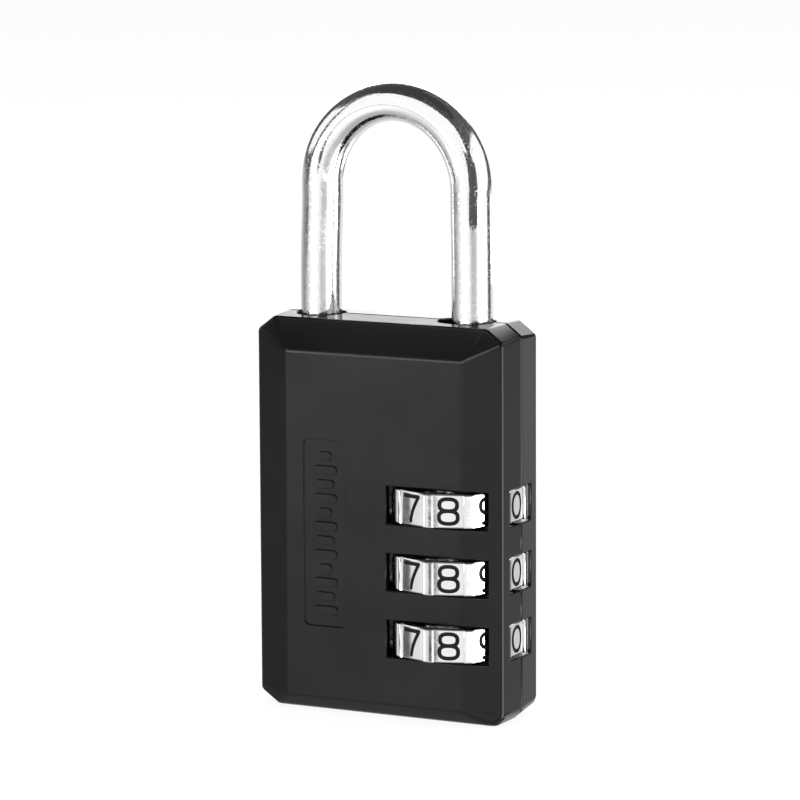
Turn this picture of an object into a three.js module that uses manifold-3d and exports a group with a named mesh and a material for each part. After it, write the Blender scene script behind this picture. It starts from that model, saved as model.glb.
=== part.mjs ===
// A three-wheel combination padlock for luggage, with a captive steel shackle.
// Millimetres. +Z is up along the shackle legs, the front panel faces -Y, and the dials read on the +X side.
// The origin is the centre of the body's flat base. The two die-cast halves meet on the plane y = 0.
import * as THREE from "three";
import { mergeVertices } from "three/addons/utils/BufferGeometryUtils.js";
import { ConvexGeometry } from "three/addons/geometries/ConvexGeometry.js";
import Module from "manifold-3d";

// ---- body ----
const BODY_HALF_WIDTH = 15.0;
const BODY_HEIGHT = 43.4;
const SEAM_HALF_GAP = 0.06;
const EDGE_DEPTH = 4.25; // where the side walls end and the bevels of a face begin
const PANEL_DEPTH = 5.65; // the flat panel of a face
const DRAFT = 0.18; // how much the outline shrinks from the seam to the edge of a face
const TOP_CHAMFER_X = 1.8, TOP_CHAMFER_Z = 1.4;
const EDGE_CHAMFER_X = 2.0, EDGE_CHAMFER_Z = 1.5;
const BASE_CHAMFER = {
  seam: { leftX: 1.9, leftZ: 1.5, rightX: 1.15, rightZ: 1.0 },
  front: { leftX: 2.25, leftZ: 1.55, rightX: 1.0, rightZ: 1.0 },
  rear: { leftX: 2.0, leftZ: 1.45, rightX: 2.0, rightZ: 1.45 },
};
const PANEL_HALF_WIDTH = 10.6, PANEL_LOW = 1.7, PANEL_HIGH = 39.8;
const PLAQUE = { x0: -8.6, x1: -3.5, z0: 9.6, z1: 30.2, depth: 0.35 };

// ---- shackle ----
const LEG_X = 9.17; // distance of each leg's axis from the middle
const ROD_R = 2.25;
const TOTAL_HEIGHT = 68.7;
const ARCH_Z = TOTAL_HEIGHT - LEG_X - ROD_R;
const TOE_Z = 36.8;
const HEEL_END_Z = 30.5, GROOVE_Z0 = 31.6, GROOVE_Z1 = 32.9, GROOVE_R = 1.5;
const HOLE_R = 2.6, HOLE_MOUTH_R = 2.9;
const HEEL_SLOT_X = 5.3; // inner end of the long hole in the top of the body
const TOE_HOLE_Z = 36.2;

// ---- dial stack ----
const DIAL_X = 7.35; // axis of the dials, sleeves and spindle
const DIAL_PITCH = 7.35;
const DIAL_Z = { bottom: 9.0, middle: 9.0 + DIAL_PITCH, top: 9.0 + 2 * DIAL_PITCH };
const DIAL_R = 7.45, DIAL_HALF_HEIGHT = 1.83;
const FACET_APOTHEM = 7.02, FACET_HALF_WIDTH = 1.62, RIDGE_HALF_ANGLE = 5;
const POCKET_R = 7.6, POCKET_ABOVE = 1.97, POCKET_BELOW = 2.15; // heights above and below a dial's middle
const WINDOW = { x0: 1.5, x1: 13.2 }, SIDE_WINDOW_HALF_WIDTH = 2.65, SIDE_WINDOW_BELOW = 1.97;
const SPLINE_R0 = 3.25, SPLINE_R1 = 3.66, SPLINE_ZONE = -0.3;
const SLEEVE_R = 3.1, SLEEVE_RI = 2.4, SLEEVE_HALF_LENGTH = 3.55;
const TOOTH_R = 3.5, TOOTH_Z = [-0.15, 0.85];
const WEB_Z = [1.9, 3.3], WEB_BORE_R = 1.3;
const GATE_R = 2.42, GATE_WIDTH = 1.7;
const FIN_Z = [-0.8, 0.4], FIN_R = 2.1, FIN_WIDTH = 1.3;
const SPINDLE_R = 1.1, SPINDLE_END_Z = 2.3;
const STACK_BORE_R = 3.3;

// ---- materials ----
const mat = (color, roughness, metalness) => new THREE.MeshStandardMaterial({ color, roughness, metalness });
const BLACK_PAINT = () => mat(0x17171a, 0.42, 0.1);
const CHROME = () => mat(0xdcdee0, 0.08, 1);
const DIAL_METAL = () => mat(0xd4d5d6, 0.22, 1);
const STEEL = () => mat(0x9a9c9e, 0.35, 1);
const BRASS = () => mat(0xb59a55, 0.35, 1);
const DARK_ZINC = () => mat(0x3a3b3d, 0.45, 1);

const wasm = await Module();
wasm.setup();

function solid(geometry) {
  const g = geometry.clone();
  g.deleteAttribute("normal");
  g.deleteAttribute("uv");
  const merged = mergeVertices(g, 1e-4);
  return new wasm.Manifold(
    new wasm.Mesh({
      numProp: 3,
      vertProperties: new Float32Array(merged.attributes.position.array),
      triVerts: new Uint32Array(merged.index.array),
    }),
  );
}

function geometryOf(manifold) {
  const m = manifold.getMesh();
  const g = new THREE.BufferGeometry();
  g.setAttribute("position", new THREE.BufferAttribute(new Float32Array(m.vertProperties), 3));
  g.setIndex(new THREE.BufferAttribute(new Uint32Array(m.triVerts), 1));
  const flat = g.toNonIndexed();
  flat.computeVertexNormals();
  return flat;
}

const box = (x0, x1, y0, y1, z0, z1) =>
  solid(new THREE.BoxGeometry(x1 - x0, y1 - y0, z1 - z0).translate((x0 + x1) / 2, (y0 + y1) / 2, (z0 + z1) / 2));
const rodZ = (r, z0, z1, x = 0, y = 0, sides = 32, rTop = r) =>
  solid(
    new THREE.CylinderGeometry(rTop, r, z1 - z0, sides)
      .rotateX(Math.PI / 2)
      .translate(x, y, (z0 + z1) / 2),
  );
const rodY = (r, y0, y1, x, z, sides = 16) =>
  solid(new THREE.CylinderGeometry(r, r, y1 - y0, sides).translate(x, (y0 + y1) / 2, z));

// A polygon in x and y, extruded from z0 to z1.
function prismZ(points, z0, z1) {
  const shape = new THREE.Shape(points.map(([x, y]) => new THREE.Vector2(x, y)));
  return solid(new THREE.ExtrudeGeometry(shape, { depth: z1 - z0, bevelEnabled: false }).translate(0, 0, z0));
}
// A polygon in x and z, extruded from y0 to y1.
function prismY(points, y0, y1) {
  const shape = new THREE.Shape(points.map(([x, z]) => new THREE.Vector2(x, z)));
  return solid(
    new THREE.ExtrudeGeometry(shape, { depth: y1 - y0, bevelEnabled: false })
      .rotateX(Math.PI / 2)
      .translate(0, y1, 0),
  );
}

const root = new THREE.Group();
function add(name, manifold, material) {
  const mesh = new THREE.Mesh(geometryOf(manifold), material);
  mesh.name = name;
  root.add(mesh);
}

// ---------------------------------------------------------------- case halves
function outline(halfWidth, top, chamferX, chamferZ, base) {
  return [
    [-halfWidth + base.leftX, 0],
    [halfWidth - base.rightX, 0],
    [halfWidth, base.rightZ],
    [halfWidth, top - chamferZ],
    [halfWidth - chamferX, top],
    [-halfWidth + chamferX, top],
    [-halfWidth, top - chamferZ],
    [-halfWidth, base.leftZ],
  ];
}

function shellBlank(side) {
  const pts = [];
  const at = (list, y) => list.forEach(([x, z]) => pts.push(new THREE.Vector3(x, side * y, z)));
  at(outline(BODY_HALF_WIDTH, BODY_HEIGHT, TOP_CHAMFER_X, TOP_CHAMFER_Z, BASE_CHAMFER.seam), SEAM_HALF_GAP);
  at(
    outline(BODY_HALF_WIDTH - DRAFT, BODY_HEIGHT - DRAFT, EDGE_CHAMFER_X, EDGE_CHAMFER_Z, side < 0 ? BASE_CHAMFER.front : BASE_CHAMFER.rear),
    EDGE_DEPTH,
  );
  at(
    [
      [-PANEL_HALF_WIDTH, PANEL_LOW],
      [PANEL_HALF_WIDTH, PANEL_LOW],
      [PANEL_HALF_WIDTH, PANEL_HIGH],
      [-PANEL_HALF_WIDTH, PANEL_HIGH],
    ],
    PANEL_DEPTH,
  );
  return solid(new ConvexGeometry(pts));
}

const PINS = {
  case_pin_upper_left: [-11.9, 31.0],
  case_pin_lower_left: [-11.9, 4.6],
  case_pin_upper_right: [13.1, 35.6],
  case_pin_lower_right: [12.6, 3.4],
};
const PIN_R = 0.8, PIN_HALF_LENGTH = 2.8;

// Everything that is hollow inside the body, cut from both halves alike.
function cavities() {
  const cuts = [];
  // dial pockets, and the windows on the front, the back and the reading side
  for (const z of Object.values(DIAL_Z)) {
    const z0 = z - POCKET_BELOW, z1 = z + POCKET_ABOVE;
    cuts.push(rodZ(POCKET_R, z0, z1, DIAL_X, 0, 64));
    cuts.push(box(WINDOW.x0, WINDOW.x1, -8, -4.6, z0, z1));
    cuts.push(box(WINDOW.x0, WINDOW.x1, 4.6, 8, z0, z1));
    cuts.push(box(13.6, 16, -SIDE_WINDOW_HALF_WIDTH, SIDE_WINDOW_HALF_WIDTH, z - SIDE_WINDOW_BELOW, z1));
  }
  // the bore of the sleeve stack, with a seat for a bush at each end
  cuts.push(rodZ(STACK_BORE_R, 1.8, 29.2, DIAL_X, 0, 32));
  cuts.push(rodZ(4.1, 27.4, 28.75, DIAL_X, 0, 32));
  cuts.push(rodZ(4.1, 1.8, 3.05, DIAL_X, 0, 32));
  // the chamber in which the coupling rises, and the long hole that the heel leaves by
  cuts.push(box(4.6, 11.8, -3.2, 3.2, 28.95, 40.5));
  cuts.push(rodZ(HOLE_R, 40, 44, LEG_X, 0, 32));
  cuts.push(rodZ(HOLE_R, 40, 44, HEEL_SLOT_X + HOLE_R, 0, 32));
  cuts.push(box(HEEL_SLOT_X + HOLE_R, LEG_X, -HOLE_R, HOLE_R, 40, 44));
  // the blind hole of the toe
  cuts.push(rodZ(HOLE_R, TOE_HOLE_Z, 44, -LEG_X, 0, 32));
  cuts.push(rodZ(HOLE_R, BODY_HEIGHT - 0.35, BODY_HEIGHT + 0.05, -LEG_X, 0, 32, HOLE_MOUTH_R));
  // the channel of the detent spring, open to the dial pockets
  cuts.push(box(-2.5, 0.1, -2.7, 2.7, 4.9, 27.8));
  // cored pockets behind the blank part of each face
  for (const [x0, x1, z0, z1] of [
    [-9.6, -4.1, 3.2, 11.8],
    [-9.6, -4.1, 13.4, 22.6],
    [-9.6, -4.1, 24.2, 33.2],
  ])
    cuts.push(box(x0, x1, -3.6, 3.6, z0, z1));
  // the blind holes of the press pins
  for (const [x, z] of Object.values(PINS)) cuts.push(rodY(PIN_R + 0.12, -PIN_HALF_LENGTH - 0.2, PIN_HALF_LENGTH + 0.2, x, z));
  return cuts;
}

for (const [name, side] of [["front_case", -1], ["rear_case", 1]]) {
  let half = shellBlank(side);
  for (const cut of cavities()) half = half.subtract(cut);
  if (side < 0)
    half = half.subtract(
      box(PLAQUE.x0, PLAQUE.x1, -PANEL_DEPTH - 1, -PANEL_DEPTH + PLAQUE.depth, PLAQUE.z0, PLAQUE.z1),
    );
  add(name, half, BLACK_PAINT());
}

for (const [name, [x, z]] of Object.entries(PINS)) add(name, rodY(PIN_R, -PIN_HALF_LENGTH, PIN_HALF_LENGTH, x, z), STEEL());

// ---------------------------------------------------------------- shackle, coupling and spindle
class ShacklePath extends THREE.Curve {
  constructor(toeZ, heelZ) {
    super();
    this.left = ARCH_Z - toeZ;
    this.arc = Math.PI * LEG_X;
    this.right = ARCH_Z - heelZ;
    this.total = this.left + this.arc + this.right;
  }
  getPoint(t, target = new THREE.Vector3()) {
    const s = t * this.total;
    if (s <= this.left) return target.set(-LEG_X, 0, ARCH_Z - this.left + s);
    if (s < this.left + this.arc) {
      const a = Math.PI - (s - this.left) / LEG_X;
      return target.set(LEG_X * Math.cos(a), 0, ARCH_Z + LEG_X * Math.sin(a));
    }
    return target.set(LEG_X, 0, ARCH_Z - (s - this.left - this.arc));
  }
  getPointAt(t, target) {
    return this.getPoint(t, target);
  }
  getTangent(t, target = new THREE.Vector3()) {
    const s = t * this.total;
    if (s <= this.left) return target.set(0, 0, 1);
    if (s < this.left + this.arc) {
      const a = Math.PI - (s - this.left) / LEG_X;
      return target.set(Math.sin(a), 0, -Math.cos(a));
    }
    return target.set(0, 0, -1);
  }
  getTangentAt(t, target) {
    return this.getTangent(t, target);
  }
}

function circleShape(r, sides) {
  const s = new THREE.Shape();
  for (let i = 0; i < sides; i++) {
    const a = (2 * Math.PI * (i + 0.5)) / sides;
    if (i) s.lineTo(r * Math.cos(a), r * Math.sin(a));
    else s.moveTo(r * Math.cos(a), r * Math.sin(a));
  }
  s.closePath();
  return s;
}

{
  const bow = new THREE.ExtrudeGeometry(circleShape(ROD_R, 16), {
    steps: 60,
    extrudePath: new ShacklePath(TOE_Z, HEEL_END_Z),
    bevelEnabled: false,
  });
  let shackle = solid(bow);
  // the groove near the heel's end, that the coupling holds and the shackle swivels in
  const collar = rodZ(ROD_R + 1, GROOVE_Z0, GROOVE_Z1, LEG_X, 0, 24).subtract(
    rodZ(GROOVE_R, GROOVE_Z0 - 1, GROOVE_Z1 + 1, LEG_X, 0, 24),
  );
  shackle = shackle.subtract(collar);
  // the toe's chamfered end
  const chamfer = rodZ(ROD_R + 1, TOE_Z - 1, TOE_Z + 0.7, -LEG_X, 0, 24).subtract(
    rodZ(ROD_R - 0.75, TOE_Z - 0.05, TOE_Z + 0.7, -LEG_X, 0, 24, ROD_R + 0.05),
  );
  shackle = shackle.subtract(chamfer.subtract(rodZ(ROD_R - 0.75, TOE_Z - 2, TOE_Z, -LEG_X, 0, 24)));
  add("shackle", shackle, CHROME());
}

{
  let stirrup = box(4.9, 11.45, -2.9, 2.9, 29.2, 32.75);
  // the channel for the heel's button, open towards +X
  stirrup = stirrup.subtract(rodZ(2.45, 30.3, 31.75, LEG_X, 0, 24)).subtract(box(LEG_X, 12, -2.45, 2.45, 30.3, 31.75));
  // the slot for the neck of the groove
  stirrup = stirrup.subtract(rodZ(1.65, 31.5, 33, LEG_X, 0, 24)).subtract(box(LEG_X, 12, -1.65, 1.65, 31.5, 33));
  // the hole and counterbore for the spindle's head
  stirrup = stirrup.subtract(rodZ(1.22, 29, 30.4, DIAL_X, 0, 24)).subtract(rodZ(1.8, 29.75, 30.5, DIAL_X, 0, 24));
  add("heel_coupling", stirrup, STEEL());
}

{
  let spindle = rodZ(SPINDLE_R, SPINDLE_END_Z, 30.0, DIAL_X, 0, 20).add(rodZ(1.65, 29.85, 30.2, DIAL_X, 0, 20));
  for (const z of Object.values(DIAL_Z)) {
    const fin = box(DIAL_X, DIAL_X + FIN_R, -FIN_WIDTH / 2, FIN_WIDTH / 2, z + FIN_Z[0], z + FIN_Z[1]);
    spindle = spindle.add(fin);
  }
  add("spindle", spindle, STEEL());
}

// ---------------------------------------------------------------- dials and code sleeves
const rad = (d) => (d * Math.PI) / 180;
// A toothed ring outline: n teeth, each `width` degrees wide at the tip, between two radii.
function gearPoints(r0, r1, n, width, phase = 0) {
  const pts = [];
  for (let k = 0; k < n; k++) {
    const c = phase + (360 / n) * k;
    for (const [r, da] of [
      [r0, -width / 2 - 2.5],
      [r1, -width / 2],
      [r1, 0],
      [r1, width / 2],
      [r0, width / 2 + 2.5],
      [r0, 180 / n],
    ])
      pts.push([r * Math.cos(rad(c + da)), r * Math.sin(rad(c + da))]);
  }
  return pts;
}

// Ten flats sunk between ten raised ribs. A flat faces +X at rest.
function dialPoints() {
  const pts = [];
  for (let k = 0; k < 10; k++) {
    const c = rad(36 * k), ux = Math.cos(c), uy = Math.sin(c);
    const flat = (u, v) => pts.push([u * ux - v * uy, u * uy + v * ux]);
    flat(FACET_APOTHEM, -FACET_HALF_WIDTH);
    flat(FACET_APOTHEM, FACET_HALF_WIDTH);
    for (const da of [18 - RIDGE_HALF_ANGLE, 18, 18 + RIDGE_HALF_ANGLE]) {
      const a = c + rad(da);
      pts.push([DIAL_R * Math.cos(a), DIAL_R * Math.sin(a)]);
    }
  }
  return pts;
}

const shift = (pts) => pts.map(([x, y]) => [x + DIAL_X, y]);

for (const [which, z] of Object.entries(DIAL_Z)) {
  const z0 = z - DIAL_HALF_HEIGHT, z1 = z + DIAL_HALF_HEIGHT;
  let dial = prismZ(shift(dialPoints()), z0, z1);
  dial = dial.subtract(prismZ(shift(gearPoints(SPLINE_R0, SPLINE_R1, 10, 20)), z0 - 1, z1 + 1));
  dial = dial.subtract(rodZ(3.85, z0 - 1, z + SPLINE_ZONE, DIAL_X, 0, 32));
  // a shallow dished ring on both faces, as the casting has
  const dish = (a, b) => rodZ(6.3, a, b, DIAL_X, 0, 40).subtract(rodZ(4.7, a - 1, b + 1, DIAL_X, 0, 32));
  dial = dial.subtract(dish(z1 - 0.4, z1 + 1)).subtract(dish(z0 - 1, z0 + 0.4));
  add("dial_" + which, dial, DIAL_METAL());
}

for (const [which, z] of Object.entries(DIAL_Z)) {
  const low = which === "bottom" ? -2.6 : -SLEEVE_HALF_LENGTH;
  let sleeve = rodZ(SLEEVE_R, z + low, z + SLEEVE_HALF_LENGTH, DIAL_X, 0, 32);
  sleeve = sleeve.add(prismZ(shift(gearPoints(SLEEVE_R - 0.2, TOOTH_R, 10, 14)), z + TOOTH_Z[0], z + TOOTH_Z[1]));
  sleeve = sleeve
    .subtract(rodZ(SLEEVE_RI, z - 5, z + WEB_Z[0], DIAL_X, 0, 24))
    .subtract(rodZ(SLEEVE_RI, z + WEB_Z[1], z + 5, DIAL_X, 0, 24))
    .subtract(rodZ(WEB_BORE_R, z, z + 5, DIAL_X, 0, 24));
  // the gate that a fin passes when the wheel stands at the code
  sleeve = sleeve.subtract(box(DIAL_X, DIAL_X + GATE_R - 0.06, -GATE_WIDTH / 2, GATE_WIDTH / 2, z + 1, z + 5));
  add("sleeve_" + which, sleeve, DARK_ZINC());
}

// ---------------------------------------------------------------- bushes, washer and springs
add("top_bush", rodZ(4.0, 27.5, 28.65, DIAL_X, 0, 32).subtract(rodZ(2.5, 27, 29, DIAL_X, 0, 32)), BRASS());
add("bottom_bush", rodZ(4.0, 1.92, 2.95, DIAL_X, 0, 32).subtract(rodZ(1.3, 1, 4, DIAL_X, 0, 24)), BRASS());
add("thrust_washer", rodZ(3.05, 5.95, 6.28, DIAL_X, 0, 32).subtract(rodZ(1.6, 5, 7, DIAL_X, 0, 24)), STEEL());

class Helix extends THREE.Curve {
  constructor(r, z0, z1, turns) {
    super();
    Object.assign(this, { r, z0, z1, turns });
  }
  getPoint(t, target = new THREE.Vector3()) {
    const a = 2 * Math.PI * this.turns * t;
    return target.set(DIAL_X + this.r * Math.cos(a), this.r * Math.sin(a), this.z0 + (this.z1 - this.z0) * t);
  }
}
{
  const wire = 0.22;
  const coil = new THREE.ExtrudeGeometry(circleShape(wire, 8), {
    steps: 54,
    extrudePath: new Helix(2.5, 3.05 + wire, 5.85 - wire, 3.25),
    bevelEnabled: false,
  });
  add("sleeve_spring", solid(coil), STEEL());
}

{
  // a strip with three humps, each standing in the flat of a dial that faces it
  const mid = [[-1.95, 5.1]];
  for (const z of Object.values(DIAL_Z)) mid.push([-1.95, z - 2.6], [-0.62, z - 0.7], [-0.62, z + 0.7], [-1.95, z + 2.6]);
  mid.push([-1.95, 27.6]);
  const t = 0.15;
  const offset = (s) =>
    mid.map((p, i) => {
      const a = mid[Math.max(0, i - 1)], b = mid[Math.min(mid.length - 1, i + 1)];
      const dx = b[0] - a[0], dz = b[1] - a[1], l = Math.hypot(dx, dz);
      return [p[0] + (s * t * dz) / l, p[1] - (s * t * dx) / l];
    });
  const strip = [...offset(1), ...offset(-1).reverse()];
  add("detent_spring", prismY(strip, -2.2, 2.2), STEEL());
}

export default root;
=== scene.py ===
# Luggage combination padlock: the looks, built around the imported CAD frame.
import math

import bmesh
import bpy
import numpy as np
from mathutils import Matrix, Vector
from mathutils.geometry import tessellate_polygon


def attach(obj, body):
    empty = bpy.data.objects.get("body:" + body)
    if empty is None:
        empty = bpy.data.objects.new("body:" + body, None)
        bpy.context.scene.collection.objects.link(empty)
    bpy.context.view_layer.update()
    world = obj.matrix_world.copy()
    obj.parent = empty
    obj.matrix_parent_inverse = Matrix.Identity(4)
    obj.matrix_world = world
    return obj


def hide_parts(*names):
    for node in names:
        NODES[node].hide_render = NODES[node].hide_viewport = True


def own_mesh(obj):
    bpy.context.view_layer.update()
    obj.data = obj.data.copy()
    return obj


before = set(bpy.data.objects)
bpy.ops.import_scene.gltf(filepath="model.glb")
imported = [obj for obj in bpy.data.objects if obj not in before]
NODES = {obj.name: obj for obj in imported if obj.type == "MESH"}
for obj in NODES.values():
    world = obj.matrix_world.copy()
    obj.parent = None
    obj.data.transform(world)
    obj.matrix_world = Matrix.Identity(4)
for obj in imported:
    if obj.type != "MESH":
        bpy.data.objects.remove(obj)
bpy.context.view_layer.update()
MM = 0.001

# the CAD model's own sizes, in millimetres
W, H = 15.0, 43.4
LEG_X, ROD_R, TOTAL_H = 9.17, 2.25, 68.7
ARCH_Z = TOTAL_H - LEG_X - ROD_R
TOE_Z, HEEL_END, GROOVE0, GROOVE1, GROOVE_R = 36.8, 30.5, 31.6, 32.9, 1.5
DIAL_X, PITCH = 7.35, 7.35
DIAL_Z = {"bottom": 9.0, "middle": 9.0 + PITCH, "top": 9.0 + 2 * PITCH}
DIAL_R, DIAL_HH = 7.45, 1.83
FACET_A, FACET_W = 7.02, 1.62
SPLINE_R0, SPLINE_R1, SPLINE_ZONE = 3.25, 3.66, -0.3
CROWN_R = 15.0
WHEEL_R, WHEEL_FLAT = DIAL_R + 0.07, FACET_A + 0.07  # the plated wheel stands a little prouder than the CAD ring
FLAT_U = [FACET_W * (i / 5 - 1) for i in range(11)]
PLAQUE = (-8.6, -3.5, 9.6, 30.2, 0.35)
PANEL_Y = 5.65


# ------------------------------------------------------------------ small helpers
def new_object(name, verts, faces, mat_index=None, materials=(), merge=2e-4):
    """verts in millimetres"""
    me = bpy.data.meshes.new(name)
    bm = bmesh.new()
    vs = [bm.verts.new(Vector(v) * MM) for v in verts]
    for i, f in enumerate(faces):
        try:
            nf = bm.faces.new([vs[j] for j in f])
            if mat_index is not None:
                nf.material_index = mat_index[i]
        except ValueError:
            pass
    if merge:
        bmesh.ops.remove_doubles(bm, verts=bm.verts, dist=merge * MM)
    bmesh.ops.recalc_face_normals(bm, faces=bm.faces)
    bm.to_mesh(me)
    bm.free()
    ob = bpy.data.objects.new(name, me)
    bpy.context.scene.collection.objects.link(ob)
    for m in materials:
        me.materials.append(m)
    return ob


def bake_modifiers(ob):
    dg = bpy.context.evaluated_depsgraph_get()
    me = bpy.data.meshes.new_from_object(ob.evaluated_get(dg))
    old = ob.data
    ob.modifiers.clear()
    ob.data = me
    me.name = ob.name
    bpy.data.meshes.remove(old)


def smooth(ob, angle=32.0):
    me = ob.data
    me.polygons.foreach_set("use_smooth", [True] * len(me.polygons))
    me.set_sharp_from_angle(angle=math.radians(angle))
    me.update()


# ------------------------------------------------------------------ materials
class Tree:
    def __init__(self, name):
        self.m = bpy.data.materials.new(name)
        self.m.use_nodes = True
        self.t = self.m.node_tree
        self.t.nodes.clear()
        self.out = self.add("ShaderNodeOutputMaterial")
        self.bsdf = self.add("ShaderNodeBsdfPrincipled")
        self.link(self.bsdf, 0, self.out, "Surface")
        self.coord = self.add("ShaderNodeTexCoord")

    def add(self, kind, **props):
        n = self.t.nodes.new(kind)
        for k, v in props.items():
            setattr(n, k, v)
        return n

    def link(self, a, sa, b, sb):
        self.t.links.new(a.outputs[sa], b.inputs[sb])

    def set(self, **v):
        for k, x in v.items():
            self.bsdf.inputs[k.replace("_", " ")].default_value = x

    def mapping(self, scale=(1, 1, 1), rot=(0, 0, 0)):
        m = self.add("ShaderNodeMapping")
        m.inputs["Scale"].default_value = scale
        m.inputs["Rotation"].default_value = rot
        self.link(self.coord, "Object", m, "Vector")
        return m

    def noise(self, scale, detail=3.0, rough=0.55, vec=None):
        n = self.add("ShaderNodeTexNoise")
        n.inputs["Scale"].default_value = scale
        n.inputs["Detail"].default_value = detail
        n.inputs["Roughness"].default_value = rough
        if vec is None:
            self.link(self.coord, "Object", n, "Vector")
        else:
            self.link(vec, 0, n, "Vector")
        return n

    def ramp(self, src, out, stops, interp="LINEAR"):
        r = self.add("ShaderNodeValToRGB")
        r.color_ramp.interpolation = interp
        els = r.color_ramp.elements
        while len(els) < len(stops):
            els.new(0.5)
        for e, (p, c) in zip(els, stops):
            e.position = p
            e.color = c if len(c) == 4 else (*c, 1)
        self.link(src, out, r, "Fac")
        return r

    def range(self, src, out, a, b, c, d):
        r = self.add("ShaderNodeMapRange")
        for k, x in (("From Min", a), ("From Max", b), ("To Min", c), ("To Max", d)):
            r.inputs[k].default_value = x
        self.link(src, out, r, "Value")
        return r

    def bump(self, src, out, dist, strength=1.0, normal=None):
        b = self.add("ShaderNodeBump")
        b.inputs["Distance"].default_value = dist
        b.inputs["Strength"].default_value = strength
        self.link(src, out, b, "Height")
        if normal is not None:
            self.link(normal, 0, b, "Normal")
        return b


def grey(v):
    return (v, v, v)


def black_paint():
    t = Tree("black_satin_paint")
    fine = t.noise(5200, 4, 0.6)
    peel = t.noise(900, 3, 0.5)
    cloud = t.noise(120, 4, 0.55)
    col = t.ramp(cloud, "Fac", [(0.3, (0.003, 0.003, 0.0032)), (0.7, (0.0052, 0.0052, 0.0056))])
    t.link(col, "Color", t.bsdf, "Base Color")
    r = t.range(cloud, "Fac", 0.3, 0.7, 0.2, 0.27)
    t.link(r, 0, t.bsdf, "Roughness")
    b1 = t.bump(peel, "Fac", 0.000012, 0.35)
    b2 = t.bump(fine, "Fac", 0.000004, 0.35, b1)
    t.link(b2, 0, t.bsdf, "Normal")
    t.set(Metallic=0.0, IOR=1.37)
    return t.m


def chrome(name, base=0.86, tint=(1.0, 1.0, 1.0), rough=(0.03, 0.09), pit=0.000006, streak=None, specks=False):
    t = Tree(name)
    fine = t.noise(4200, 4, 0.6)
    mid = t.noise(650, 4, 0.6)
    cloud = t.noise(150, 4, 0.6)
    col = t.ramp(cloud, "Fac", [(0.3, tuple(base * 0.97 * c for c in tint)), (0.75, tuple(base * c for c in tint))])
    t.link(col, "Color", t.bsdf, "Base Color")
    r = t.range(mid, "Fac", 0.35, 0.7, rough[0], rough[1])
    t.link(r, 0, t.bsdf, "Roughness")
    b1 = t.bump(mid, "Fac", pit * 3, 0.3)
    b2 = t.bump(fine, "Fac", pit, 0.35, b1)
    last = b2
    if streak:
        mp = t.mapping(scale=streak)
        s = t.noise(2500, 3, 0.6, mp)
        last = t.bump(s, "Fac", pit, 0.5, b2)
    if specks:
        sp = t.noise(5200, 2, 0.5)
        dots = t.ramp(sp, "Fac", [(0.6, (0, 0, 0)), (0.68, (1, 1, 1))])
        last = t.bump(dots, "Color", 0.000012, 0.5, last)
    t.link(last, 0, t.bsdf, "Normal")
    t.set(Metallic=1.0)
    return t.m


def metal(name, lo, hi, rough, streak=(1, 1, 14), pit=0.00001):
    t = Tree(name)
    mp = t.mapping(scale=streak)
    line = t.noise(1800, 4, 0.6, mp)
    blot = t.noise(260, 4, 0.6)
    col = t.ramp(blot, "Fac", [(0.3, lo), (0.7, hi)])
    t.link(col, "Color", t.bsdf, "Base Color")
    r = t.range(line, "Fac", 0.3, 0.7, rough[0], rough[1])
    t.link(r, 0, t.bsdf, "Roughness")
    b = t.bump(line, "Fac", pit, 0.5)
    t.link(b, 0, t.bsdf, "Normal")
    t.set(Metallic=1.0)
    return t.m


def digit_fill():
    t = Tree("digit_black_fill")
    n = t.noise(3000, 4, 0.6)
    col = t.ramp(n, "Fac", [(0.3, (0.006, 0.006, 0.006)), (0.7, (0.014, 0.014, 0.015))])
    t.link(col, "Color", t.bsdf, "Base Color")
    r = t.range(n, "Fac", 0.3, 0.7, 0.4, 0.6)
    t.link(r, 0, t.bsdf, "Roughness")
    b = t.bump(n, "Fac", 0.00001, 0.6)
    t.link(b, 0, t.bsdf, "Normal")
    t.set(IOR=1.28)
    return t.m


PAINT = black_paint()
SHACKLE_CHROME = chrome("shackle_chrome_plate", base=0.9, rough=(0.02, 0.06), pit=0.000014, specks=True)
DIAL_CHROME = chrome("dial_chrome_plate", base=0.88, rough=(0.06, 0.14), pit=0.00001)
DIGIT = digit_fill()
BRASS = metal("turned_brass", (0.56, 0.41, 0.17), (0.68, 0.52, 0.25), (0.2, 0.38))
# painted shade: the sleeves get a near-black metal so the gaps above the dials read as dark as the shade inside the
# lock
SHADE_DARKENED_SLEEVE_METAL = metal("black_passivated_zinc", (0.035, 0.035, 0.037), (0.06, 0.06, 0.063), (0.3, 0.5))
STEEL = metal("zinc_plated_steel", (0.42, 0.43, 0.44), (0.56, 0.57, 0.58), (0.22, 0.42))
SPRING = metal("spring_steel_wire", (0.3, 0.31, 0.33), (0.44, 0.45, 0.47), (0.18, 0.34))


# ------------------------------------------------------------------ case halves
def prism(name, outline, y0, y1):
    """a closed block with an outline in x and z between two depths, for cutting and joining"""
    n = len(outline)
    verts = [(x, y0, z) for x, z in outline] + [(x, y1, z) for x, z in outline]
    faces = [tuple(range(n)), tuple(range(2 * n - 1, n - 1, -1))]
    faces += [(i, (i + 1) % n, n + (i + 1) % n, n + i) for i in range(n)]
    return new_object(name, verts, faces)


def rounded(x0, x1, z0, z1, r, n=6):
    pts = []
    for cx, cz, a in ((x1 - r, z0 + r, -90), (x1 - r, z1 - r, 0), (x0 + r, z1 - r, 90), (x0 + r, z0 + r, 180)):
        for i in range(n + 1):
            t = math.radians(a + 90 * i / n)
            pts.append((cx + r * math.cos(t), cz + r * math.sin(t)))
    return pts


def boolean(ob, other, op):
    m = ob.modifiers.new("b", "BOOLEAN")
    m.solver = "EXACT"
    m.operation = op
    m.object = other
    bake_modifiers(ob)
    me = other.data
    bpy.data.objects.remove(other)
    bpy.data.meshes.remove(me)


PLAQUE_DEPTH = 0.2


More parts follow.
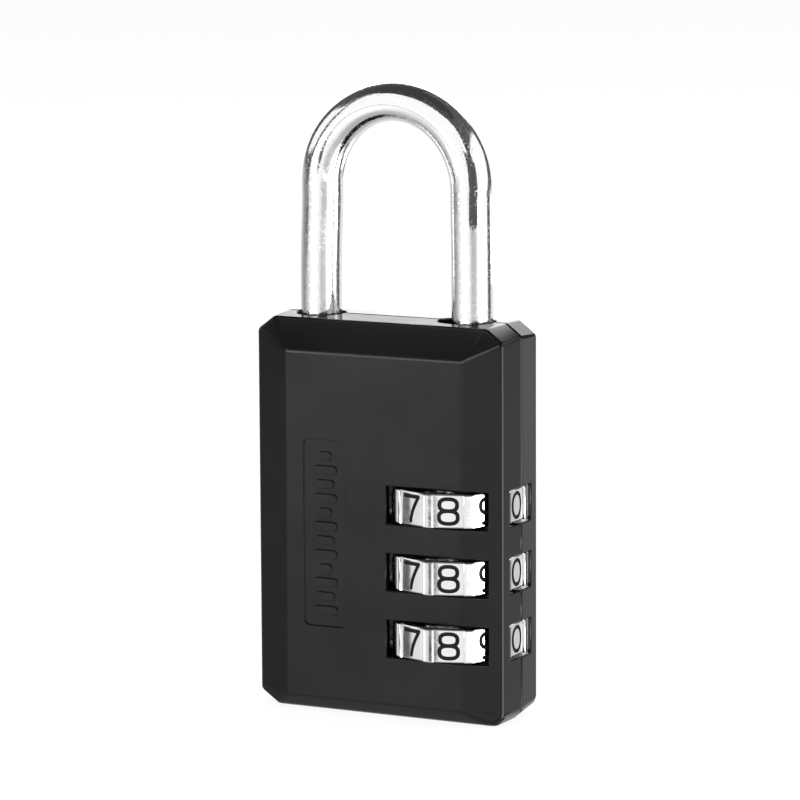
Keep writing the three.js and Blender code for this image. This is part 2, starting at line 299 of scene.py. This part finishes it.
def case_half(name, node):
    """The cast half with rounded edges: the CAD half's own surfaces, cleaned to plain faces and rounded."""
    me = NODES[node].data.copy()
    me.name = name
    ob = bpy.data.objects.new(name, me)
    bpy.context.scene.collection.objects.link(ob)

    def clean():
        bm = bmesh.new()
        bm.from_mesh(ob.data)
        bmesh.ops.remove_doubles(bm, verts=bm.verts, dist=2e-6)
        bmesh.ops.dissolve_degenerate(bm, edges=bm.edges, dist=2e-6)
        bmesh.ops.dissolve_limit(
            bm, angle_limit=math.radians(0.4), verts=bm.verts, edges=bm.edges, use_dissolve_boundaries=False
        )
        bm.normal_update()
        return bm

    if node == "front_case":
        x0, x1, z0, z1, d = PLAQUE
        bm = bmesh.new()
        bm.from_mesh(ob.data)
        for v in bm.verts:
            x, y, z = v.co / MM
            if x0 - 0.01 < x < x1 + 0.01 and z0 - 0.01 < z < z1 + 0.01 and abs(y + PANEL_Y - d) < 0.02:
                v.co.y = -PANEL_Y * MM
        bmesh.ops.remove_doubles(bm, verts=bm.verts, dist=2e-6)
        bmesh.ops.dissolve_degenerate(bm, edges=bm.edges, dist=2e-6)
        bm.to_mesh(ob.data)
        bm.free()
        boolean(ob, prism("cut", rounded(x0, x1, z0, z1, 0.65), -PANEL_Y - 1, -PANEL_Y + PLAQUE_DEPTH), "DIFFERENCE")
        n = 12
        step = (z1 - z0 - 2.0) / n
        for i in range(n):
            c = z0 + 1.0 + step * (i + 0.5)
            half = (1.45, 1.1, 1.45, 0.8)[i % 4]
            mid = (x0 + x1) / 2 + 0.05
            rib = rounded(mid - half, mid + half, c - 0.46, c + 0.46, 0.4, 4)
            boolean(ob, prism("rib", rib, -PANEL_Y + 0.02, -PANEL_Y + PLAQUE_DEPTH + 0.3), "UNION")
    bm = clean()
    co = np.array([v.co[:] for v in bm.verts]) / MM
    outer, seam, relief = set(), set(), set()
    for f in bm.faces:
        n = np.array(f.normal[:])
        c = f.calc_center_median() / MM
        d = float(n @ (np.array(f.verts[0].co[:]) / MM))
        if (co @ n - d).max() < 0.02:
            outer.add(f)
            if abs(n[1]) > 0.99 and abs(c.y) < 0.5:
                seam.add(f)
        elif c.y < -PANEL_Y + 0.45 and PLAQUE[0] - 0.1 < c.x < PLAQUE[1] + 0.1:
            relief.add(f)
    lay = bm.edges.layers.float.get("bevel_weight_edge") or bm.edges.layers.float.new("bevel_weight_edge")
    WIDTH = 0.8
    for e in bm.edges:
        e[lay] = 0.0
        if len(e.link_faces) != 2:
            continue
        a, b = e.link_faces
        ang = math.degrees(a.normal.angle(b.normal, 0.0))
        if ang < 8:
            continue
        ina, inb = a in outer, b in outer
        if a in relief or b in relief:
            if ang > 60:
                e[lay] = 0.055 / WIDTH
            continue
        if not (ina or inb):
            continue
        sm = (a in seam) or (b in seam)
        if ina and inb:
            if sm:
                r = 0.2
            else:
                p, q = (v.co / MM for v in e.verts)
                low = max(p.z, q.z) < 3.5
                right = (p.x + q.x) > 0
                along_y = abs(p.y - q.y) > 3 and abs(p.x - q.x) < 1.6 and abs(p.z - q.z) < 1
                if low and right:
                    r = 0.5
                elif low:
                    r = 0.3
                else:
                    r = 0.26
        elif sm:
            r = 0.0
        else:
            r = 0.14
        e[lay] = r / WIDTH
    bm.to_mesh(ob.data)
    bm.free()
    mod = ob.modifiers.new("round", "BEVEL")
    mod.limit_method = "WEIGHT"
    mod.offset_type = "OFFSET"
    mod.width = WIDTH * MM
    mod.segments = 3
    mod.use_clamp_overlap = False
    mod.loop_slide = True
    mod.miter_outer = "MITER_ARC"
    wn = ob.modifiers.new("normals", "WEIGHTED_NORMAL")
    wn.keep_sharp = True
    wn.weight = 80
    ob.data.materials.clear()
    ob.data.materials.append(PAINT)
    smooth(ob, 30)
    bake_modifiers(ob)
    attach(ob, "case")
    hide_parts(node)
    return ob


FRONT = case_half("front_case_casting", "front_case")
REAR = case_half("rear_case_casting", "rear_case")


# ------------------------------------------------------------------ shackle
def build_shackle():
    sides = 48
    rings = []  # (centre x, z, direction angle of the ring's outward in-plane axis, in-plane radius, y radius)

    def leg(x, z, r, s):
        rings.append((x, z, s, r, r))

    # toe, from its end upwards; the in-plane axis points to -x on the left leg
    for r, z in ((0.0, TOE_Z), (1.35, TOE_Z), (1.55, TOE_Z + 0.06), (2.1, TOE_Z + 0.58), (2.2, TOE_Z + 0.72), (2.25, TOE_Z + 0.9)):
        leg(-LEG_X, z, r, math.pi)
    for z in np.linspace(TOE_Z + 4, ARCH_Z, 16):
        leg(-LEG_X, float(z), ROD_R, math.pi)
    n = 84
    for i in range(1, n):
        a = math.pi - math.pi * i / n
        k = math.sin(a) ** 3
        rin = ROD_R * (1 - 0.09 * k)
        ry = ROD_R * (1 + 0.03 * k)
        rc = LEG_X + (ROD_R - rin)
        rings.append((rc * math.cos(a), ARCH_Z + rc * math.sin(a), a, rin, ry))
    for z in np.linspace(ARCH_Z, GROOVE1 + 1.2, 20):
        leg(LEG_X, float(z), ROD_R, 0.0)
    g = GROOVE1
    for r, z in (
        (2.25, g + 0.28), (2.2, g + 0.12), (2.05, g), (1.62, g), (1.5, g - 0.1),
        (1.5, GROOVE0 + 0.1), (1.62, GROOVE0), (2.05, GROOVE0), (2.2, GROOVE0 - 0.08), (2.25, GROOVE0 - 0.25),
        (2.25, HEEL_END + 0.35), (2.18, HEEL_END + 0.14), (2.0, HEEL_END), (0.0, HEEL_END),
    ):
        leg(LEG_X, z, r, 0.0)
    verts, faces, first = [], [], []
    for x, z, a, rin, ry in rings:
        first.append(len(verts))
        if rin == 0.0:
            verts.append((x, 0, z))
            continue
        for k in range(sides):
            t = 2 * math.pi * k / sides
            u, v = rin * math.cos(t), ry * math.sin(t)
            verts.append((x + u * math.cos(a), v, z + u * math.sin(a)))
    for i in range(len(rings) - 1):
        a0, b0 = first[i], first[i + 1]
        pa, pb = rings[i][3] == 0.0, rings[i + 1][3] == 0.0
        # the left leg's in-plane axis points to -x and the right leg's to +x, through the arch: no twist
        for k in range(sides):
            k1 = (k + 1) % sides
            if pa:
                faces.append((a0, b0 + k, b0 + k1))
            elif pb:
                faces.append((a0 + k, b0, a0 + k1))
            else:
                faces.append((a0 + k, b0 + k, b0 + k1, a0 + k1))
    # the legs are drawn in slightly where the bend begins
    drawn = []
    for x, y, z in verts:
        side, amount = (1, 0.24) if x < 0 else (-1, 0.1)
        w = min(1.0, abs(x) / 6.0)
        drawn.append((x + side * amount * w * math.exp(-(((z - 56.5) / 5.0) ** 2)), y, z))
    verts = drawn
    ob = new_object("shackle_bow", verts, faces, materials=[SHACKLE_CHROME])
    smooth(ob, 35)
    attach(ob, "shackle_set")
    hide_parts("shackle")
    return ob


build_shackle()


# ------------------------------------------------------------------ digits
def arc(cx, cy, rx, ry, a0, a1, n=28, p=2.0):
    pts = []
    for i in range(n + 1):
        a = math.radians(a0 + (a1 - a0) * i / n)
        c, s = math.cos(a), math.sin(a)
        pts.append((cx + rx * math.copysign(abs(c) ** (2 / p), c), cy + ry * math.copysign(abs(s) ** (2 / p), s)))
    return pts


def bez(p0, p1, p2, p3, n=16):
    out = []
    for i in range(n + 1):
        t = i / n
        a, b, c, d = (1 - t) ** 3, 3 * t * (1 - t) ** 2, 3 * t * t * (1 - t), t**3
        out.append(tuple(a * p0[k] + b * p1[k] + c * p2[k] + d * p3[k] for k in (0, 1)))
    return out


SIX = [arc(0, -0.52, 0.96, 0.82, 0, 360, 40, 2.4), bez((0.62, 1.34), (-0.35, 1.2), (-0.96, 0.5), (-0.96, -0.5))]
STROKES = {
    0: [arc(0, 0, 0.98, 1.32, 0, 360, 56, 2.15)],
    1: [[(0.12, -1.34), (0.12, 1.34)], [(0.12, 1.34), (-0.5, 0.86)]],
    2: [arc(0, 0.52, 0.92, 0.82, 168, -28, 30, 2.3) + [(-0.98, -1.34), (1.0, -1.34)]],
    3: [arc(0, 0.68, 0.86, 0.66, 150, -90, 30, 2.4), arc(0, -0.66, 0.98, 0.68, 90, -152, 30, 2.4)],
    4: [[(0.42, -1.34), (0.42, 1.34), (-1.0, -0.52), (1.0, -0.52)]],
    5: [[(0.86, 1.34), (-0.74, 1.34), (-0.86, 0.12)] + arc(0, -0.46, 0.98, 0.88, 128, -146, 30, 2.3)],
    6: SIX,
    7: [[(-1.0, 1.34), (1.0, 1.34)] + bez((1.0, 1.34), (0.55, 0.6), (0.0, -0.3), (-0.12, -1.34))],
    8: [arc(0, 0.69, 0.95, 0.65, 0, 360, 44, 2.6), arc(0, -0.65, 1.02, 0.69, 0, 360, 44, 2.6)],
    9: [[(-x, -y) for x, y in s] for s in SIX],
}
STROKE_R = 0.215


def simplify(pts, tol):
    """Douglas-Peucker on a closed loop."""
    pts = np.array(pts)

    def rec(i, j):
        if j <= i + 1:
            return [i]
        a, b = pts[i], pts[j]
        d = b - a
        l = np.hypot(*d)
        q = pts[i + 1 : j] - a
        dist = np.abs(q[:, 0] * d[1] - q[:, 1] * d[0]) / l if l > 1e-9 else np.hypot(q[:, 0], q[:, 1])
        k = int(dist.argmax())
        if dist[k] < tol:
            return [i]
        return rec(i, i + 1 + k) + rec(i + 1 + k, j)

    n = len(pts)
    far = int(((pts - pts[0]) ** 2).sum(1).argmax())
    keep = rec(0, far) + [k for k in rec(far, n - 1)]
    return [tuple(pts[k]) for k in keep]


def contours(strokes, r):
    """Closed outlines of the strokes' union, by marching squares over their distance field."""
    step = 0.04
    xs = np.arange(-1.5, 1.5 + step / 2, step) + 0.0013
    ys = np.arange(-1.8, 1.8 + step / 2, step) + 0.0017
    gx, gy = np.meshgrid(xs, ys, indexing="ij")
    f = np.full(gx.shape, 9.0)
    for s in strokes:
        for (ax, ay), (bx, by) in zip(s[:-1], s[1:]):
            dx, dy = bx - ax, by - ay
            l2 = dx * dx + dy * dy
            if l2 < 1e-12:
                continue
            t = np.clip(((gx - ax) * dx + (gy - ay) * dy) / l2, 0, 1)
            f = np.minimum(f, np.hypot(gx - ax - t * dx, gy - ay - t * dy))
    f -= r
    nxt = {}
    nx, ny = f.shape

    def cut(i0, j0, i1, j1):
        a, b = f[i0, j0], f[i1, j1]
        t = a / (a - b)
        return (i0, j0, i1, j1), (xs[i0] + (xs[i1] - xs[i0]) * t, ys[j0] + (ys[j1] - ys[j0]) * t)

    where = {}
    inside = f < 0
    code = inside[:-1, :-1] * 1 + inside[1:, :-1] * 2 + inside[1:, 1:] * 4 + inside[:-1, 1:] * 8
    for i, j in zip(*np.nonzero((code > 0) & (code < 15))):
        c = int(code[i, j])
        e = {
            "b": (i, j, i + 1, j), "r": (i + 1, j, i + 1, j + 1),
            "t": (i, j + 1, i + 1, j + 1), "l": (i, j, i, j + 1),
        }
        table = {
            1: ["lb"], 2: ["br"], 3: ["lr"], 4: ["rt"], 5: ["lt", "rb"], 6: ["bt"], 7: ["lt"],
            8: ["tl"], 9: ["tb"], 10: ["bl", "tr"], 11: ["tr"], 12: ["rl"], 13: ["rb"], 14: ["bl"],
        }[c]
        for a, b in table:
            ka, pa = cut(*e[a])
            kb, pb = cut(*e[b])
            where[ka], where[kb] = pa, pb
            nxt[ka] = kb
    loops = []
    left = set(nxt)
    while left:
        k = next(iter(sorted(left)))
        loop = []
        while k in left:
            left.discard(k)
            loop.append(where[k])
            k = nxt[k]
        if len(loop) > 8:
            loops.append(simplify(loop, 0.006))
    return loops


def area(loop):
    return 0.5 * sum(a[0] * b[1] - b[0] * a[1] for a, b in zip(loop, loop[1:] + loop[:1]))


DIGITS = {}
for d, s in STROKES.items():
    loops = contours(s, STROKE_R)
    loops.sort(key=lambda l: -abs(area(l)))
    DIGITS[d] = (loops[0], loops[1:])  # outline, counters


# ------------------------------------------------------------------ dials
def ring(r0, r1, n, width, phase=0.0):
    pts = []
    for k in range(n):
        c = phase + 360.0 / n * k
        for r, da in ((r0, -width / 2 - 2.5), (r1, -width / 2), (r1, 0), (r1, width / 2), (r0, width / 2 + 2.5), (r0, 180.0 / n)):
            a = math.radians(c + da)
            pts.append((r * math.cos(a), r * math.sin(a)))
    return pts


def circle(r, n):
    return [(r * math.cos(2 * math.pi * i / n), r * math.sin(2 * math.pi * i / n)) for i in range(n)]


def build_dial(which):
    zc = DIAL_Z[which]
    verts, faces, mats = [], [], []

    def addv(p):
        verts.append(p)
        return len(verts) - 1

    def face(idx, m=0):
        faces.append(idx)
        mats.append(m)

    # each flat is slightly crowned; the ribs between them are square-shouldered lands
    crown = lambda u: u * u / (2 * CROWN_R)
    base_r = math.hypot(WHEEL_FLAT - crown(FACET_W), FACET_W)
    half = math.radians(18) - math.atan2(FACET_W, WHEEL_FLAT - crown(FACET_W))
    rib = [(-0.99, 0.5), (-0.97, 0.76), (-0.92, 0.84), (-0.84, 0.88), (-0.36, 1.0), (0.0, 1.0),
           (0.36, 1.0), (0.84, 0.88), (0.92, 0.84), (0.97, 0.76), (0.99, 0.5)]

    def profile(inset):
        """outer outline: for each sector the crowned flat, then the rib"""
        pts = []
        for k in range(10):
            c = math.radians(36 * k)
            ux, uy = math.cos(c), math.sin(c)
            for v in FLAT_U:
                u = WHEEL_FLAT - crown(v) - inset
                pts.append((u * ux - v * uy, u * uy + v * ux))
            mid = c + math.radians(18)
            for t, q in rib:
                r = base_r + (WHEEL_R - base_r) * q - inset
                a = mid + half * t
                pts.append((r * math.cos(a), r * math.sin(a)))
        return pts

    levels = [(-DIAL_HH, 0.14), (-DIAL_HH + 0.045, 0.045), (-DIAL_HH + 0.15, 0.0),
              (DIAL_HH - 0.15, 0.0), (DIAL_HH - 0.045, 0.045), (DIAL_HH, 0.14)]
    loops = [[addv((DIAL_X + x, y, zc + dz)) for x, y in profile(ins)] for dz, ins in levels]
    n = len(loops[0])
    for li in range(len(loops) - 1):
        for i in range(n):
            j = (i + 1) % n
            if li == 2 and i % (len(FLAT_U) + len(rib)) < len(FLAT_U) - 1:
                continue  # the flat itself is made below, with its engraved number
            face((loops[li][i], loops[li][j], loops[li + 1][j], loops[li + 1][i]))
    # flats with engraved and filled numbers
    depth = 0.1
    for k in range(10):
        c = math.radians(36 * k)
        ux, uy = math.cos(c), math.sin(c)
        digit = k  # 0 faces +X, 9 follows towards the front
        outline, counters = DIGITS[digit]
        zlo, zhi = -DIAL_HH + 0.15, DIAL_HH - 0.15

        def at(u, v, w=0.0):
            # seen from outside with +Z up, +u runs to the viewer's right: counterclockwise about +Z
            r = WHEEL_FLAT - crown(u) - w
            return (DIAL_X + r * ux - u * uy, r * uy + u * ux, zc + v)

        rect = [(u, zlo) for u in FLAT_U] + [(u, zhi) for u in reversed(FLAT_U)]
        fb = bmesh.new()

        def put(loop, w):
            return [fb.verts.new((u, v, w)) for u, v in loop]

        def fill(loops2, w, m, rows=None):
            rows = rows or [put(l, w) for l in loops2]
            flat = [x for r in rows for x in r]
            for t in tessellate_polygon([[Vector((u, v, 0)) for u, v in l] for l in loops2]):
                try:
                    fb.faces.new([flat[i] for i in t]).material_index = m
                except ValueError:
                    pass
            return rows

        top = fill([rect, outline], 0.0, 0)[1:]
        low = fill([outline] + counters, depth, 1)
        for l in counters:
            top += fill([l], 0.0, 0)
        for t_row, l_row in zip(top, low):
            m = len(t_row)
            for i in range(m):
                j = (i + 1) % m
                fb.faces.new((t_row[i], t_row[j], l_row[j], l_row[i])).material_index = 1
        for u in FLAT_U[1:-1]:
            bmesh.ops.bisect_plane(
                fb, geom=fb.verts[:] + fb.edges[:] + fb.faces[:], dist=1e-5, plane_co=(u, 0, 0), plane_no=(1, 0, 0)
            )
        fb.verts.index_update()
        idx = [addv(at(*v.co)) for v in fb.verts]
        for f in fb.faces:
            face(tuple(idx[v.index] for v in f.verts), f.material_index)
        fb.free()

    # ends: rim, a dished ring, hub
    def annulus(a, b, z, ia=None):
        la = ia if ia is not None else [addv((DIAL_X + x, y, z)) for x, y in a]
        lb = [addv((DIAL_X + x, y, z)) for x, y in b]
        both = la + lb
        for t in tessellate_polygon([[Vector((x, y, 0)) for x, y in a], [Vector((x, y, 0)) for x, y in b]]):
            face(tuple(both[i] for i in t))
        return la, lb

    def wall(la, lb):
        m = len(la)
        for i in range(m):
            j = (i + 1) % m
            face((la[i], la[j], lb[j], lb[i]))

    cyl = lambda pts, z: [addv((DIAL_X + x, y, z)) for x, y in pts]
    out_prof = profile(0.14)
    c63, c47 = circle(6.3, 64), circle(4.7, 48)
    c64, c46 = circle(6.42, 64), circle(4.58, 48)
    spline, relief = ring(SPLINE_R0, SPLINE_R1, 10, 20), circle(3.85, 48)
    for sgn, li, bore in ((1, 5, spline), (-1, 0, relief)):
        z = zc + sgn * DIAL_HH
        zd = z - sgn * 0.4
        zs = z - sgn * 0.12
        _, b = annulus(out_prof, c64, z, loops[li])
        w1 = cyl(c63, zs)
        wall(b, w1)
        _b = w1
        a2, b2 = annulus(c63, c47, zd)
        wall(_b, a2)
        w2 = cyl(c47, zs)
        wall(b2, w2)
        a3, b3 = annulus(c46, bore, z)
        wall(w2, a3)
        if sgn > 0:
            top_bore = b3
        else:
            low_bore = b3
    a4, b4 = annulus(relief, spline, zc + SPLINE_ZONE)
    wall(low_bore, a4)
    wall(b4, top_bore)
    ob = new_object("dial_" + which + "_numbered", verts, faces, mats, [DIAL_CHROME, DIGIT])
    smooth(ob, 22)
    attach(ob, which + "_wheel")
    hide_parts("dial_" + which)
    return ob


for w in DIAL_Z:
    build_dial(w)

# ------------------------------------------------------------------ carried-over CAD nodes
for name, o in NODES.items():
    if name in ("front_case", "rear_case", "shackle") or name.startswith("dial_"):
        continue
    # the sleeves take the near-black metal that paints the shade inside the lock
    if name.startswith("sleeve_") and name != "sleeve_spring":
        m = SHADE_DARKENED_SLEEVE_METAL
    elif name.endswith("bush"):
        m = BRASS
    elif name.endswith("spring"):
        m = SPRING
    else:
        m = STEEL
    o.data.materials.clear()
    o.data.materials.append(m)


def sleeve_coil():
    """the coil under the sleeves, which in the lock shortens as they are pushed down for a new code; here a fixed
    copy carried with the case
    """
    ob = bpy.data.objects.new("sleeve_spring_coil", NODES["sleeve_spring"].data.copy())
    bpy.context.scene.collection.objects.link(ob)
    ob.data.materials.clear()
    ob.data.materials.append(SPRING)
    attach(ob, "case")
    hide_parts("sleeve_spring")
    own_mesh(ob)
    return ob


sleeve_coil()

# ------------------------------------------------------------------ floor, light and camera
def studio_floor():
    me = bpy.data.meshes.new("studio_floor")
    s = 3.0
    me.from_pydata([(-s, -s, 0), (s, -s, 0), (s, s, 0), (-s, s, 0)], [], [(0, 1, 2, 3)])
    ob = bpy.data.objects.new("studio_floor", me)
    bpy.context.scene.collection.objects.link(ob)
    m = bpy.data.materials.new("studio_floor_white")
    m.use_nodes = True
    t = m.node_tree
    t.nodes.clear()
    out = t.nodes.new("ShaderNodeOutputMaterial")
    dif = t.nodes.new("ShaderNodeBsdfDiffuse")
    dif.inputs["Color"].default_value = (0.12, 0.12, 0.12, 1)
    em = t.nodes.new("ShaderNodeEmission")
    em.inputs["Color"].default_value = (1, 1, 1, 1)
    em.inputs["Strength"].default_value = 0.93
    add = t.nodes.new("ShaderNodeAddShader")
    t.links.new(dif.outputs[0], add.inputs[0])
    t.links.new(em.outputs[0], add.inputs[1])
    t.links.new(add.outputs[0], out.inputs["Surface"])
    me.materials.append(m)
    ob.visible_glossy = False  # the bright parts mirror the studio below, not the bare table
    return ob


# What the bright parts mirror, by direction. Azimuth in degrees: 0 = front, 90 = the reading side, 180 = behind.
BANDS = [(-180, 0.85), (-160, 0.85), (-135, 0.75), (-121, 0.66), (-105, 0.5), (-95, 0.37), (-86, 0.25), (-76, 0.4),
         (-67, 0.52), (-60, 0.66), (-50, 0.77), (-40, 0.92), (-33, 1.1), (-27, 1.25), (-10, 1.25), (4, 1.05), (14, 0.95), (22, 0.7), (30, 0.58), (42, 0.6),
         (55, 0.9), (64, 2.5), (76, 6.0), (90, 7.0), (104, 6.0), (115, 1.2), (124, 0.3), (130, 0.1), (144, 0.12),
         (150, 0.55), (156, 0.95), (175, 0.9)]
BAND_MAX = 7.0


def studio_world():
    w = bpy.data.worlds.new("studio")
    bpy.context.scene.world = w
    w.use_nodes = True
    t = w.node_tree
    t.nodes.clear()
    N, L = t.nodes.new, t.links.new
    coord = N("ShaderNodeTexCoord")
    sep = N("ShaderNodeSeparateXYZ")
    L(coord.outputs["Generated"], sep.inputs[0])

    def math_node(op, a, b=None, c=None):
        n = N("ShaderNodeMath")
        n.operation = op
        for i, x in enumerate((a, b, c)):
            if x is None:
                continue
            if isinstance(x, (int, float)):
                n.inputs[i].default_value = x
            else:
                L(x, n.inputs[i])
        return n.outputs[0]

    neg = math_node("MULTIPLY", sep.outputs["Y"], -1.0)
    az = math_node("MULTIPLY", math_node("ARCTAN2", sep.outputs["X"], neg), 180 / math.pi)
    az360 = math_node("ADD", az, math_node("MULTIPLY", math_node("LESS_THAN", az, 0.0), 360.0))
    el = math_node("MULTIPLY", math_node("ARCSINE", sep.outputs["Z"]), 180 / math.pi)

    r = N("ShaderNodeValToRGB")
    els = r.color_ramp.elements
    while len(els) < len(BANDS):
        els.new(0.5)
    for e, (a, v) in zip(els, BANDS):
        e.position = (a + 180) / 360
        e.color = (v / BAND_MAX, v / BAND_MAX, v / BAND_MAX, 1)
    L(math_node("DIVIDE", math_node("ADD", az, 180.0), 360.0), r.inputs["Fac"])
    value = math_node("MULTIPLY", r.outputs["Color"], BAND_MAX)

    def step(x, a, b):
        """0 below a, 1 above b"""
        n = N("ShaderNodeMapRange")
        n.interpolation_type = "SMOOTHSTEP"
        n.inputs["From Min"].default_value = a
        n.inputs["From Max"].default_value = b
        L(x, n.inputs["Value"])
        return n.outputs[0]

    def inside(x, a0, a1, b0, b1):
        """1 between a1 and b0, falling to 0 at a0 and b1"""
        return math_node("MULTIPLY", step(x, a0, a1), math_node("SUBTRACT", 1.0, step(x, b0, b1)))

    def layer(value, mask, level):
        """blend towards level where mask is 1"""
        d = math_node("SUBTRACT", level, value)
        return math_node("MULTIPLY_ADD", d, mask, value)

    # the strip between the softbox and the backdrop leans back as it rises
    rise = math_node("MINIMUM", math_node("MAXIMUM", math_node("ADD", el, 6.0), 0.0), 20.0)
    lean = math_node("MULTIPLY_ADD", rise, -1.5, az360)
    # the softbox has a rounded top
    off = math_node("SUBTRACT", az360, 108.0)
    arch = math_node("MULTIPLY_ADD", math_node("MULTIPLY", off, off), 0.0056, el)
    horizontal = {"az": az, "az360": az360, "lean": lean}
    vertical = {"el": el, "arch": arch}
    for h, (a0, a1, b0, b1), k, (c0, c1, d0, d1), level in AIR:
        m = math_node("MULTIPLY", inside(horizontal[h], a0, a1, b0, b1), inside(vertical[k], c0, c1, d0, d1))
        value = layer(value, m, level)
    m = math_node("MULTIPLY", step(az360, 54, 62), math_node("SUBTRACT", 1.0, step(lean, 122, 127)))
    m = math_node("MULTIPLY", m, step(el, -6, -3))
    value = layer(value, math_node("MULTIPLY", m, math_node("SUBTRACT", 1.0, step(arch, 37, 41))), 1.2)
    bg = N("ShaderNodeBackground")
    out = N("ShaderNodeOutputWorld")
    comb = N("ShaderNodeCombineXYZ")
    for i in range(3):
        L(value, comb.inputs[i])
    L(comb.outputs[0], bg.inputs["Color"])
    L(bg.outputs[0], out.inputs["Surface"])


ALL = (-400, -399, 400, 401)
LOW = (-17, -15, -9.8, -9.1)
# which horizontal measure and its (rise, full, full, fall), which vertical measure and the same, brightness
AIR = [
    ("az", (-118, -110, -78, -76), "el", LOW, 0.85),  # the table seen by the dials and the panels
    ("az", (-77, -75, -66, -63), "el", LOW, 0.12),
    ("az360", (140, 146, 164, 168), "el", LOW, 0.7),
    ("az360", (168, 174, 203, 208), "el", LOW, 0.12),
    ("az", (-66, -63, -54, -46), "el", LOW, 0.85),
    ("az", (-54, -46, -38, -36), "el", LOW, 1.6),
    ("az", (-38, -36, -19, -17), "el", LOW, 0.78),
    ("az", (-19, -17, -1, 1), "el", LOW, 0.13),
    ("az", (-1, 1, 22, 26), "el", LOW, 1.0),
    ("az", (22, 26, 60, 66), "el", LOW, 1.25),
    ("az", ALL, "el", (-91, -90, -62, -34), 0.5),  # the table close by, in the shade of the lock
    ("az360", (138, 148, 168, 178), "el", (-44, -34, -19, -17.5), 2.1),  # the lit table behind the reading side
    ("az", ALL, "el", (-3.5, 3, 90, 91), 0.1),  # the dark room over the table
    ("az", ALL, "el", (15, 62, 90, 91), 0.05),  # the room gets darker towards the ceiling
    ("az", (10, 18, 54, 64), "el", (-4.6, -3.4, 90, 91), 0.07),  # the dark gap by the camera
    ("az", (-80, -60, 10, 24), "el", (12, 17, 46, 54), 0.22),  # the dim upper part of the front panel
    ("az", (-50, -42, 6, 13), "el", (-4, -1, 6, 9), 6.0),  # the bright front panel
    ("az", (-80, -76, -58, -54), "el", (-7.0, -5.4, 4, 6), 0.1),
    ("az", (-100, -96, -60, -57), "el", (3, 6, 26, 30), 1.1),  # a lamp on the left
    ("az", (-60, -57, -47, -42), "el", (4, 6, 30, 36), 0.1),
    ("az", (54, 62, 179, 180), "el", (-6, -3, 60, 61), 0.1),  # the dark side
    ("lean", (122, 127, 141, 146), "el", (-6, -4, 30, 31), 0.1),  # the strip
    ("az360", (150, 158, 190, 196), "el", (-4, 0, 60, 61), 0.1),
    ("az360", (190, 196, 214, 226), "el", (-4, 0, 13, 19), 2.6),  # the bright backdrop
    ("az360", (176, 182, 200, 206), "el", (13, 16, 22, 26), 2.6),
]


def card(name, points, strength):
    """a small bounce card close to the lock, which only its reflection shows"""
    me = bpy.data.meshes.new(name)
    me.from_pydata([tuple(c * MM for c in p) for p in points], [], [tuple(range(len(points)))])
    ob = bpy.data.objects.new(name, me)
    bpy.context.scene.collection.objects.link(ob)
    m = bpy.data.materials.new(name + "_white")
    m.use_nodes = True
    t = m.node_tree
    t.nodes.clear()
    out = t.nodes.new("ShaderNodeOutputMaterial")
    em = t.nodes.new("ShaderNodeEmission")
    em.inputs["Color"].default_value = (1, 1, 1, 1)
    em.inputs["Strength"].default_value = strength
    t.links.new(em.outputs[0], out.inputs["Surface"])
    me.materials.append(m)
    ob.visible_camera = False
    ob.visible_diffuse = False
    ob.visible_shadow = False
    ob.visible_transmission = False


def area_light(name, loc, target, size, power, shape="RECTANGLE"):
    d = bpy.data.lights.new(name, "AREA")
    d.shape = shape
    d.size, d.size_y = size
    d.energy = power
    o = bpy.data.objects.new(name, d)
    bpy.context.scene.collection.objects.link(o)
    o.location = loc
    o.rotation_euler = (Vector(target) - Vector(loc)).to_track_quat("-Z", "Y").to_euler()
    o.visible_glossy = False
    return o


studio_floor()
studio_world()
card("front_card", [(x, -30, z) for x, z in ((-60, 128), (-45, 90), (-37, 74), (-36, 64), (1, 64), (1, 56), (18, 56), (22, 72), (34, 72), (36, 104), (-42, 128))], 1.1)
card("rear_card", [(x, 8, z) for x, z in ((8, 46.6), (14.8, 46.6), (14.8, 56), (8, 56))], 5.0)
card("dark_card", [(x, -5, z) for x, z in (
    (10.4, 53.9), (10.8, 53.2), (11.4, 53.6), (12.1, 52.9), (12.8, 53.5), (13.6, 52.8), (14.6, 53.4), (15.9, 52.9),
    (17.0, 57), (17.6, 63), (10.8, 63))], 0.1)
area_light("ceiling_softbox", (0.05, 0.12, 0.75), (0, 0, 0.02), (0.7, 0.7), 6.0)


def camera():
    az, el, roll = (math.radians(v) for v in (27.0, 8.816, -0.285))
    back = Vector((math.sin(az) * math.cos(el), -math.cos(az) * math.cos(el), math.sin(el)))
    right = Vector((math.cos(az), math.sin(az), 0))
    up = back.cross(right)
    r2 = right * math.cos(roll) + up * math.sin(roll)
    u2 = -right * math.sin(roll) + up * math.cos(roll)
    pos = (Vector((0.392, 0, 34.208)) + back * 483.217) * MM
    d = bpy.data.cameras.new("camera")
    d.sensor_width = 36.0
    d.lens = 4445.6 / 800 * 36.0
    d.clip_start = 0.01
    d.clip_end = 50
    o = bpy.data.objects.new("camera", d)
    bpy.context.scene.collection.objects.link(o)
    m = Matrix((r2, u2, back)).transposed().to_4x4()
    m.translation = pos
    o.matrix_world = m
    bpy.context.scene.camera = o


camera()
bpy.context.scene.view_settings.view_transform = "Standard"
